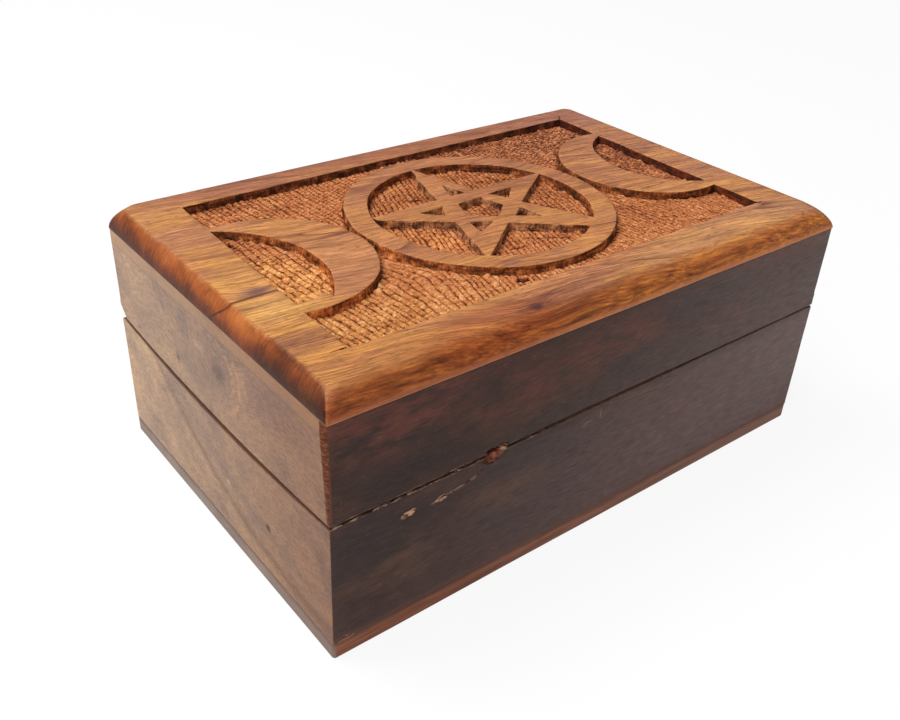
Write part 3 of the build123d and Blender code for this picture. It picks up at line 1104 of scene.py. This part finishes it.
def carved_wall(f):
    """Scorched brown of the carved walls, torn by the chisel and along the grain, with painted light on the
    star's walls and on the left, and painted shade on the back wall.
    """
    chisel = f.noise((0.42, 0.42, 1.5), 4.0, 0.65, 0.4)
    layers = f.noise((7, 3.5, 0.5), 3.0, 0.6, 0.6)
    cloud = f.noise((3.2, 3.2, 2.2), 3.0, 0.6)
    tone = chisel * 0.6 + layers * 0.4
    tone += (cloud - 0.5) * 0.9
    dark = f.ramp(
        tone, (0.33, (0.02, 0.005, 0.002)), (0.45, (0.11, 0.026, 0.006)),
        (0.55, (0.26, 0.065, 0.017)), (0.7, (0.55, 0.19, 0.06)),
    )
    # Lit copy of the wall colour, for painted light on walls that face the lamps.
    light = f.ramp(
        tone, (0.36, (0.05, 0.018, 0.009)), (0.5, (0.25, 0.105, 0.052)), (0.64, (0.6, 0.3, 0.155))
    )
    # Painted light: the star's walls get the lit copy.
    lit_star_walls = f.spot((*ring_inside[0], box_top), (24, 24, 60), 0.15)
    dark = f.mix(lit_star_walls * 0.6, dark, light)
    x, y, _ = f.axes
    # Painted shade on the back wall, which faces away from the lamps.
    dark = f.tint(f.remap(y, 36.5, 38), dark, (0.6, 0.58, 0.8))
    # Painted light: walls on the left lighter, fading out toward the right.
    dark = f.mix(f.remap(x, -30, 45), dark * (1.2, 1.25, 1.15), dark)
    dark = f.tint(f.remap(x, 30, 45), dark, (0.76, 0.68, 0.58))
    # Painted light on the ring's outer wall beside the left moon, which faces the lamps.
    lit_wall_by_left_moon = f.remap(x, -28, -36) * f.remap(y, 8, -6)
    dark = f.tint(lit_wall_by_left_moon, dark, (1.45, 1.42, 1.3))
    return f.tint(f.remap(x, 58, 61), dark, (0.41, 0.21, 0.165))


def rounded_over(f, colour):
    """Puts the darker, more saturated wood of the panel's rounded edges over a colour."""
    x, y, z = f.axes
    wobble = (f.noise((7, 5, 5), 4.0, 0.6) - 0.5) * 2.2
    from_left = x + half_length + wobble
    from_right = half_length - x + wobble
    from_front = y + half_width + wobble
    from_back = half_width - y + wobble
    rise = f.remap(z, panel_base, box_top)

    pores = f.remap(f.streaks(0.15, 1.6, 2.0, 0.0), 0.41, 0.33)
    band = f.streaks(1.3, 28, 4.0, 0.4)
    thin = f.streaks(0.45, 9, 3.0, 0.3)
    tone = band * 0.6 + thin * 0.4
    long_grain = f.ramp(
        tone, (0.33, (0.105, 0.025, 0.013)), (0.43, (0.29, 0.072, 0.02)),
        (0.54, (0.47, 0.135, 0.028)), (0.67, (0.68, 0.25, 0.048)),
    )
    long_grain = f.mix(pores * 0.6, long_grain, (0.085, 0.024, 0.01))
    hair = f.streaks(0.6, 5, 2.0, 0.1)
    long_grain = f.scale(long_grain, f.remap(hair, 0.42, 0.58, 0.8, 1.18))
    foot = f.remap(z + wobble * 0.3, panel_base + 1.7, panel_base + 0.5)
    long_grain = f.mix(foot * 0.7, long_grain, (0.58, 0.2, 0.09))
    to_left = long_grain * (0.72, 0.6, 0.62)
    to_right = long_grain * (1.2, 1.24, 1.12)
    long_grain = f.mix(f.remap(x, -80, 45), to_left, to_right)

    bent = f.vector("ADD", f.place, f.stretch(f.join(0.0, wobble, 0.0), 0.8))
    fur = f.noise((3.5, 0.22, 3.5), 4.0, 0.65, 0.3, place=bent)
    swirl = f.noise((5, 7, 5), 3.0, 0.5, 0.6)
    tone = rise * 0.45 + 0.14 + (swirl - 0.5) * 0.5 + (fur - 0.5) * 0.85
    for centre, length, amount in (
        (-47, 8, -0.34), (-15, 7, 0.1), (-34, 13, -0.3), (-25, 3.5, -0.18), (41, 16, -0.15), (10, 8, -0.06),
    ):
        tone += f.band(y + wobble - centre, length) * amount
    fall = 1.0 - rise
    split = y + wobble * 0.3 - fall * 5.1
    split = f.band(split + 9.6, 0.6) * f.remap(x, 0, -1)
    tone -= split * 0.36
    end_grain = f.ramp(
        tone, (0.0, (0.032, 0.007, 0.003)), (0.28, (0.125, 0.026, 0.008)),
        (0.55, (0.33, 0.08, 0.016)), (0.85, (0.58, 0.19, 0.045)),
    )
    end_grain = f.tint(f.remap(fall, 0.5, 0.85), end_grain, (1.0, 0.84, 0.68))
    front = f.remap(from_front, crease_front + 0.6, crease_front - 2.6)
    back = f.remap(from_back, crease_back + 0.8, crease_back - 1.2)
    left = f.remap(from_left, crease_left + 0.7, crease_left - 0.6)
    right = f.remap(from_right, crease_right + 0.8, crease_right - 2.0)
    share_front = from_front / crease_front
    past_left = share_front - from_left / crease_left
    past_right = share_front - from_right / crease_right
    left *= f.remap(past_left, -0.05, 0.05)
    right *= f.remap(past_right, -0.05, 0.05)
    colour = f.mix(f.math("MAXIMUM", front, back) * 0.92, colour, long_grain)
    colour = f.mix(f.math("MAXIMUM", left, right) * 0.95, colour, end_grain)
    stain = f.spot((-34.0, -45.5, box_top), (17, 6, 6), 0.5)
    colour = f.tint(stain, colour, (0.9, 0.73, 0.72))
    lip = f.remap(z, panel_base + 0.32, panel_base + 0.12, 0.0, 0.45)
    return f.mix(lip, colour, (0.62, 0.34, 0.19))


def panel_finish():
    """Wood of the carved panel: polished on top, raw in the field and scorched on the walls, with painted
    light and shade on the walls and painted shade along their feet.
    """
    f = Finish("panel_wood")
    knots = [((-67.5, -8.5, box_top), (9, 4, 9), 2.5), ((-24, -44, box_top), (14, 6, 12), 2.5)]
    f.lay_grain("x", lean=0.15, sway=5.0, knots=knots)
    colour, fine = polished_top(f)
    colour = rounded_over(f, colour)
    raw, marks = gouged_floor(f)
    sunk, wall_mark = f.mark("sunk"), f.mark("wall")
    colour = f.mix(sunk, colour, raw)
    # The wall colour, with its painted light and shade, also lies on the floor along each wall's foot as
    # painted shade.
    colour = f.mix(f.remap(wall_mark, 0.1, 0.9, 0.0, 0.95), colour, carved_wall(f))
    under = f.remap(f.axes[2], panel_base + 0.05, panel_base + 0.02)
    colour = f.mix(under, colour, plain_wood(f))
    roughness = 0.5 + f.math("MAXIMUM", sunk, wall_mark) * 0.25
    return f.finish(colour, roughness, fine * 0.4 + marks * sunk * 2.2, 0.12, gloss=0.15)


def front_finish():
    """Almost black brown of the front, with reddish patches, worn satin, and a painted sheen toward the
    right and the base.
    """
    f = Finish("front_wood")

    def on_front(centre, sizes, edge=0.8):
        return f.spot((centre[0], -half_width, centre[1]), (sizes[0], 20, sizes[1]), edge)

    f.lay_grain("x", lean=0.03, sway=2.0)
    x, _, z = f.axes
    cloud = f.noise((30, 20, 12), 4.0, 0.6)
    colour = f.ramp(
        cloud, (0.32, (0.032, 0.017, 0.014)), (0.5, (0.052, 0.026, 0.02)),
        (0.66, (0.08, 0.038, 0.026)),
    )
    patches = on_front((2, 49), (24, 6))
    for centre, sizes in (
        ((-60, 53), (18, 8)), ((-30, 48), (14, 6)), ((-29, 22), (12, 5)), ((-62, 18), (9, 6)),
        ((34, 45), (12, 3)), ((50, 8), (20, 3)),
    ):
        patches = f.math("MAXIMUM", patches, on_front(centre, sizes) * 0.8)
    broken = f.remap(f.noise((9, 9, 3.5), 4.0, 0.6), 0.36, 0.64)
    reddish = f.mix(f.remap(z, 28, 40), (0.105, 0.055, 0.032), (0.15, 0.048, 0.032))
    colour = f.mix(patches * broken, colour, reddish)
    for centre, sizes in (
        ((-57, 43), (15, 4)), ((3, 43), (15, 4.5)), ((25, 51), (12, 7)), ((-30, 31), (15, 4)),
        ((-67, 28), (10, 7)), ((-22, 16), (26, 5)),
    ):
        colour = f.mix(on_front(centre, sizes) * 0.6, colour, (0.027, 0.021, 0.021))
    # Painted sheen: a greyish reflection painted into the colour, growing toward the right and the bottom.
    painted_sheen = f.remap(x - z * 1.3, -110, 50)
    colour = f.mix(painted_sheen * 0.85, colour, (0.17, 0.118, 0.108))
    # Painted light: the base's half lighter, as lit from the table below, and the lid's half with less of
    # the painted sheen.
    lid_with_less_sheen, base_with_painted_light = colour * (0.94, 0.86, 0.84), colour * (1.22, 1.13, 1.15)
    colour = f.mix(f.remap(z, 36, 33), lid_with_less_sheen, base_with_painted_light)
    colour = f.tint(f.remap(z, 54, 58), colour, (1.25, 1.05, 1.0))
    fibre = f.streaks(0.24, 5, 4.0, 0.1)
    mottle = f.noise((3.5, 3.5, 1.6), 5.0, 0.6, 0.5)
    shade = f.remap(fibre, 0.28, 0.72, 0.76, 1.22) * f.remap(mottle, 0.3, 0.7, 0.88, 1.11)
    colour = f.scale(colour, shade)
    flecks = f.remap(f.streaks(0.22, 2.0, 2.0, 0.0), 0.66, 0.74, 0.0, 0.5)
    colour = f.mix(flecks, colour, (0.21, 0.12, 0.085))
    scratches = ((-7.9, 32.3), (1.5, 0.2)), ((-4.1, 33.0), (0.22, 1.3)), ((-9.0, 31.7), (1.1, 0.16))
    for centre, sizes in scratches:
        colour = f.mix(on_front(centre, sizes, 0.5) * 0.5, colour, (0.24, 0.19, 0.17))
    fresh = f.mark("fresh")
    bare = f.noise((1.5, 1, 0.4), 4.0, 0.6)
    bared = f.ramp(
        bare, (0.38, (0.08, 0.022, 0.012)), (0.5, (0.24, 0.065, 0.032)), (0.66, (0.46, 0.19, 0.11))
    )
    pale = bare - f.remap(x, -53, -55, 0.0, 0.07)
    flakes = f.remap(x, -40, -41) * f.remap(pale, 0.42, 0.5)
    bared = f.mix(flakes, bared, (0.64, 0.37, 0.25))
    # Near black in the deep chip above the saw cut: painted shade in the hollow.
    bared = f.mix(f.remap(z, 35.4, 36.1), bared, (0.01, 0.004, 0.003))
    bared = f.mix(on_front((-32.6, 35.9), (1.1, 0.8), 0.4), bared, (0.66, 0.4, 0.27))
    left_edge = f.remap(x + half_length, 0.9, 0.5) * f.remap(z, 35.7, 37, 0.0, 0.8)
    colour = f.mix(left_edge, colour, (0.13, 0.038, 0.02))
    frayed = f.remap(f.mark("sawn"), 0.1, 0.5) * f.remap(x, -12, -44, 0.22, 1.0)
    ragged = f.remap(f.noise((2.0, 1, 0.22), 4.0, 0.7), 0.49, 0.6)
    colour = f.mix(frayed * ragged, colour, (0.42, 0.26, 0.18))
    foot = f.remap(z + mottle * 3.0, bottom_top + 3.6, bottom_top + 1.4)
    colour = f.mix(foot * 0.6, colour, (0.19, 0.08, 0.054))
    colour = f.mix(fresh, inner_wood(f, colour), bared)
    roughness = f.remap(cloud, 0.3, 0.7, 0.36, 0.5) + fresh * 0.3
    return f.finish(colour, roughness, fibre, 0.06, gloss=0.18)


def plain_wood(f):
    """Unfinished wood of the inside and of the sawn rims."""
    raw = f.ramp(
        f.streaks(1.6, 40, 4.0), (0.32, (0.2, 0.085, 0.042)),
        (0.55, (0.36, 0.165, 0.08)), (0.72, (0.46, 0.23, 0.12)),
    )
    raw = f.mix(f.growth_lines(8.0, 9.0) * 0.4, raw, (0.15, 0.06, 0.035))
    kerf = f.noise((60, 0.9, 60), 2.0)
    return f.mix(f.remap(kerf, 0.45, 0.3, 0.0, 0.3), raw, (0.12, 0.05, 0.028))


def insets(f):
    """Distance from the nearest side of the box, and that from the other pair of sides."""
    x, y, _ = f.axes
    pair = half_length - abs(x), half_width - abs(y)
    return f.math("MINIMUM", *pair), f.math("MAXIMUM", *pair)


def inner_wood(f, colour):
    """Puts the plain wood of the inside and of the sawn rims over a colour."""
    inset, other = insets(f)
    in_corner = f.remap(other, 3.4, 3.0, 0.0, 0.9)
    return f.mix(f.remap(inset - in_corner, 0.35, 1.1), colour, plain_wood(f))


def end_finish():
    """Dry greyish tan of the ends, with a knot and curved darker bands, lighter toward the back with
    painted light.
    """
    f = Finish("end_wood")
    knot = (-6.0, 47.3)
    f.lay_grain("y", sway=2.5, knots=[((-half_length, *knot), (30, 12, 9), 5.0)])
    x, y, z = f.axes
    cloud = f.noise((16, 14, 10), 4.0, 0.6, 0.4)
    colour = f.ramp(
        cloud, (0.3, (0.28, 0.205, 0.17)), (0.46, (0.37, 0.26, 0.205)),
        (0.6, (0.43, 0.3, 0.22)), (0.76, (0.5, 0.345, 0.235)),
    )
    ripple = (f.noise((9, 8, 7), 3.0) - 0.5) * 5.0
    across = z - (y * 0.0055 + 0.42) * y + ripple * 0.5
    in_base = f.remap(z, 35.5, 34.0)
    for place_across, half, share, tint in (
        (15.9, 2.4, 0.5, (0.225, 0.145, 0.112)), (22.6, 3.4, 0.45, (0.26, 0.2, 0.18)),
        (7.5, 2.6, 0.25, (0.28, 0.195, 0.155)), (30.0, 4.0, 0.2, (0.26, 0.185, 0.16)),
        (1.0, 3.0, 0.25, (0.28, 0.2, 0.155)), (12.0, 2.6, 0.25, (0.53, 0.36, 0.23)),
    ):
        colour = f.mix(f.band(across - place_across, half) * in_base * share, colour, tint)
    lift = (f.noise((3, 2, 2), 4.0, 0.7) - 0.5) * 2.6
    bent = f.vector("ADD", f.place, f.join(0.0, lift * 0.7, lift))
    for centre, sizes, share, tint in (
        ((10, 52.5), (2.4, 4.5), 0.45, (0.205, 0.17, 0.16)),
        ((-33, 51), (11, 5.5), 0.45, (0.25, 0.175, 0.17)),
        ((5, 45), (7, 6), 0.25, (0.25, 0.19, 0.17)),
        ((34, 49), (9, 6), 0.35, (0.5, 0.345, 0.235)),
        (knot, (7, 5), 0.35, (0.24, 0.18, 0.165)),
        (knot, (2.6, 2.2), 0.65, (0.15, 0.12, 0.125)),
        ((-15, 50), (3, 3.5), 0.35, (0.55, 0.37, 0.24)),
        ((3.5, 49.5), (3.2, 0.7), 0.35, (0.62, 0.46, 0.35)),
        ((-23.6, 17.6), (0.9, 0.8), 0.85, (0.07, 0.04, 0.035)),
        ((37.4, 37.8), (0.9, 0.6), 0.6, (0.13, 0.08, 0.06)),
        ((14.9, 40.6), (0.9, 1.1), 0.55, (0.12, 0.09, 0.08)),
        ((-5.6, 18.2), (0.8, 0.5), 0.6, (0.66, 0.5, 0.38)),
    ):
        spot = f.spot((-half_length, *centre), (30, *sizes), 0.7, place=bent)
        colour = f.mix(spot * share, colour, tint)
    halo = f.vector("DIVIDE", f.vector("SUBTRACT", f.place, (-half_length, -7.0, 48)), (30, 8.5, 9))
    reach = f.vector("LENGTH", halo) + ripple * 0.05
    arcs = f.band(f.folded(reach * 3.0), 0.4)
    arcs *= f.remap(reach, 1.7, 0.7) * f.remap(y, -6, -11)
    arcs *= f.remap(f.noise((3, 3, 3), 3.0), 0.4, 0.6)
    colour = f.mix(arcs * 0.7, colour, (0.6, 0.38, 0.23))
    fibre = f.noise((1.6, 0.5, 0.5), 5.0, 0.7, 0.5, place=f.wood)
    colour = f.scale(colour, f.remap(fibre, 0.3, 0.7, 0.74, 1.17))
    specks = f.noise((0.7, 0.6, 0.45), 4.0, 0.7)
    colour = f.mix(f.remap(specks, 0.4, 0.3, 0.0, 0.5), colour, (0.15, 0.085, 0.06))
    colour = f.mix(f.remap(specks, 0.62, 0.72, 0.0, 0.5), colour, (0.62, 0.45, 0.34))
    low = z + ripple * 0.12
    colour = f.mix(f.remap(low, 55.4, 57.4, 0.0, 0.5), colour, (0.46, 0.285, 0.175))
    seam = f.band(low - 56.0, 0.5) * f.remap(fibre, 0.4, 0.6)
    colour = f.mix(seam * 0.4, colour, (0.2, 0.11, 0.07)) * (0.93, 0.86, 0.79)
    # Painted light: the ends lighter toward the back, the base's half most, and darker and redder toward
    # the front.
    to_back = f.remap(y, 0, half_width)
    colour = f.tint(to_back, colour, (1.15, 1.16, 1.17))
    colour = f.tint(to_back * in_base, colour, (1.2, 1.21, 1.14))
    colour = f.tint(f.remap(y, 12, -half_width), colour, (0.78, 0.66, 0.61))
    # Dark along the sawn rims: painted shade in the gap of the saw cut.
    colour = f.mix(f.mark("sawn") * 0.85, colour, (0.085, 0.032, 0.017))
    colour = inner_wood(f, colour)
    facet = f.remap(y + half_width + ripple * 0.12 - f.remap(z, 34, 57, 0.9, 2.5), 0.2, -0.2)
    facet *= f.remap(z, 35.7, 36.5) * f.remap(x, -73.0, -73.2)
    bare = f.ramp(
        fibre, (0.36, (0.055, 0.015, 0.008)), (0.52, (0.13, 0.037, 0.015)), (0.64, (0.24, 0.078, 0.032))
    )
    colour = f.mix(facet, colour, bare)
    relief = fibre + f.noise((0.5, 0.4, 0.4), 2.0)
    return f.finish(colour, f.remap(cloud, 0.3, 0.7, 0.62, 0.75), relief, 0.07, gloss=0.15)


def back_finish():
    """Brown of the back board."""
    f = Finish("back_wood")
    f.lay_grain("x", lean=-0.04, sway=3.0)
    broad = f.streaks(3.5, 50, 4.0, 0.6)
    colour = f.ramp(
        broad, (0.3, (0.085, 0.036, 0.02)), (0.52, (0.16, 0.075, 0.04)), (0.72, (0.24, 0.115, 0.058))
    )
    fibre = f.streaks(0.4, 16, 4.0, 0.1)
    colour = f.mix(f.remap(fibre, 0.47, 0.3, 0.0, 0.6), colour, (0.05, 0.022, 0.014))
    colour = inner_wood(f, colour)
    return f.finish(colour, f.remap(broad, 0.3, 0.7, 0.42, 0.55), fibre, 0.08, gloss=0.25)


def bottom_finish():
    """Reddish brown of the bottom board, dull tan where it faces the ends."""
    f = Finish("bottom_wood")
    f.lay_grain("x", lean=0.02, sway=2.0)
    broad = f.streaks(1.4, 45, 4.0, 0.5)
    colour = f.ramp(
        broad, (0.3, (0.12, 0.032, 0.015)), (0.5, (0.26, 0.074, 0.031)), (0.7, (0.42, 0.15, 0.068))
    )
    fibre = f.streaks(0.35, 12, 4.0, 0.1)
    colour = f.mix(f.remap(fibre, 0.46, 0.3, 0.0, 0.6), colour, (0.07, 0.026, 0.016))
    x, y, z = f.axes
    inset, _ = insets(f)
    colour = f.mix(f.remap(x, -70, 76, 0.1, 0.7), colour * (1.05, 1.12, 1.15), (0.37, 0.2, 0.15))
    middle = bottom_top / 2
    flat = f.remap(abs(z - middle), middle - 0.1, middle - 0.02) * f.remap(inset, 1.0, 2.5)
    # Darker along the lowest millimetre, where the board rounds under toward the table: painted shade.
    colour = f.mix(f.remap(z, 0.9, 0.2, 0.0, 0.7), colour, (0.055, 0.02, 0.013))
    colour = f.mix(flat, colour, plain_wood(f) * (0.85, 0.72, 0.68))
    on_end = f.remap(abs(x), half_length - 1.2, half_length - 0.3)
    cloud = f.noise((9, 14, 9), 4.0)
    dull = f.ramp(cloud, (0.35, (0.19, 0.14, 0.118)), (0.65, (0.3, 0.215, 0.165)))
    dull = f.mix(f.remap(y, 20, -49, 0.0, 0.5), dull, (0.19, 0.105, 0.075))
    colour = f.mix(on_end, colour, dull)
    smear = z + f.noise((3.5, 3.5, 1.6), 4.0, 0.6) * 2.0
    smeared = f.remap(smear, 3.8, 5.2, 0.0, 0.6) * f.remap(inset, 2.5, 1.0)
    colour = f.mix(smeared, colour, (0.12, 0.058, 0.044))
    colour = f.mix(f.mark("fresh"), colour, (0.42, 0.22, 0.13))
    return f.finish(colour, 0.5, fibre, 0.08, gloss=0.25)


def brass_finish(name, colour, worn, roughness):
    """Brass with brushed streaks and brown tarnish."""
    f = Finish(name)
    brushed = f.noise((6, 0.12, 0.12), 3.0)
    tarnish = f.remap(f.noise((2.2, 1.6, 1.6), 4.0), 0.45, 0.7)
    shade = f.mix(tarnish * 0.7, colour, worn)
    shade = f.mix(f.remap(brushed, 0.35, 0.65, 0.0, 0.35), shade, colour)
    return f.finish(shade, tarnish * 0.2 + roughness, brushed, 0.01, metallic=1.0)


finishes = {
    "panel_wood": panel_finish(),
    "front_wood": front_finish(),
    "back_wood": back_finish(),
    "end_wood": end_finish(),
    "bottom_wood": bottom_finish(),
    "hinge_brass": brass_finish("hinge_brass", (0.72, 0.5, 0.2), (0.3, 0.17, 0.07), 0.32),
    "pin_brass": brass_finish("pin_brass", (0.66, 0.46, 0.19), (0.26, 0.15, 0.07), 0.36),
    "screw_brass": brass_finish("screw_brass", (0.75, 0.54, 0.24), (0.33, 0.19, 0.08), 0.28),
}


def place_piece(piece, node, body, slot):
    """Puts a piece in a node's place, on its body and with the slot's finish."""
    piece.data.materials.append(finishes[slot])
    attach(piece, body)
    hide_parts(node)


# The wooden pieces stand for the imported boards
place_piece(carved_panel(), "lid_top_panel", "lid", "panel_wood")
place_piece(bottom_board(), "base_bottom_board", "base", "bottom_wood")
for body, in_lid in (("base", False), ("lid", True)):
    for place, slot, *form in (
        ("front", "front_wood", "x", -1, front_stations, plain_depths, front_damage),
        ("back", "back_wood", "x", 1, back_stations(), back_depths(), no_damage),
        ("left", "end_wood", "y", -1, end_stations, plain_depths, no_damage),
        ("right", "end_wood", "y", 1, end_stations, plain_depths, no_damage),
    ):
        piece = board(f"{place}_board_of_{body}", in_lid, *form)
        place_piece(piece, f"{body}_{place}_board", body, slot)

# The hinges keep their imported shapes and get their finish
for row in frame["record"]["subparts"]:
    if "hinge" in row["node"]:
        metal = frame["nodes"][row["node"]]
        metal.data.materials.clear()
        metal.data.materials.append(finishes[row["material_slot"]])


# Floor, lights and camera

def make_floor():
    """White table just under the box, which keeps the box's shadow."""
    reach = 3000
    points, faces = lattice([-reach, reach], [-reach, reach], [-10, 0])
    floor = make_piece("floor", points, faces)
    table = Nodes(bpy.data.materials.new("white_table"), "ShaderNodeOutputMaterial")
    surface = table.add("BsdfDiffuse", {"Color": (0.86, 0.87, 0.86, 1)})
    white = table.add("Emission", {"Strength": 1.03})
    share = table.add("LightPath", {}, "Is Camera Ray") * 0.86
    floor.data.materials.append(table.surface(table.add("MixShader", {0: share, 1: surface, 2: white})))


def make_world():
    """White surroundings, dimmer as a light than they look to the camera."""
    sky = Nodes(bpy.data.worlds.new("surroundings"), "ShaderNodeOutputWorld")
    seen = sky.add("LightPath", {}, "Is Camera Ray")
    strength = sky.add("MapRange", {"Value": seen, "To Min": 0.32, "To Max": 1.0})
    white = sky.add("Background", {"Color": (1, 1, 1, 1), "Strength": strength})
    bpy.context.scene.world = sky.surface(white)


def make_lamp(name, place, target, size, power):
    """Square soft lamp at a place, turned to a target."""
    data = bpy.data.lights.new(name, "AREA")
    data.shape = "SQUARE"
    data.size = size * MM
    data.energy = power
    lamp = bpy.data.objects.new(name, data)
    bpy.context.scene.collection.objects.link(lamp)
    lamp.location = Vector(place) * MM
    lamp.rotation_euler = (Vector(target) - Vector(place)).to_track_quat("-Z", "Y").to_euler()


def make_camera():
    """The photograph's camera, fitted to the box's corners and creases."""
    place = Vector((-146.8, -167.5, 160.0))
    right = Vector((0.7877, -0.6146, 0.0418))
    look = Vector((0.5382, 0.6536, -0.5322))
    focal_length, picture_width = 976.3, 900
    up = right.cross(look)
    data = bpy.data.cameras.new("camera")
    data.sensor_width = 36
    data.lens = focal_length * data.sensor_width / picture_width
    data.clip_start, data.clip_end = 10 * MM, 10
    camera = bpy.data.objects.new("camera", data)
    bpy.context.scene.collection.objects.link(camera)
    turn = Matrix((right, up, -look)).transposed()
    camera.matrix_world = Matrix.Translation(place * MM) @ turn.to_4x4()
    bpy.context.scene.camera = camera


make_floor()
make_world()
make_lamp("key", (-350, 350, 900), (0, 0, 30), 500, 6.8)
make_lamp("fill", (-600, -300, 500), (0, 0, 30), 500, 2.6)
make_camera()
bpy.context.scene.view_settings.view_transform = "Standard"
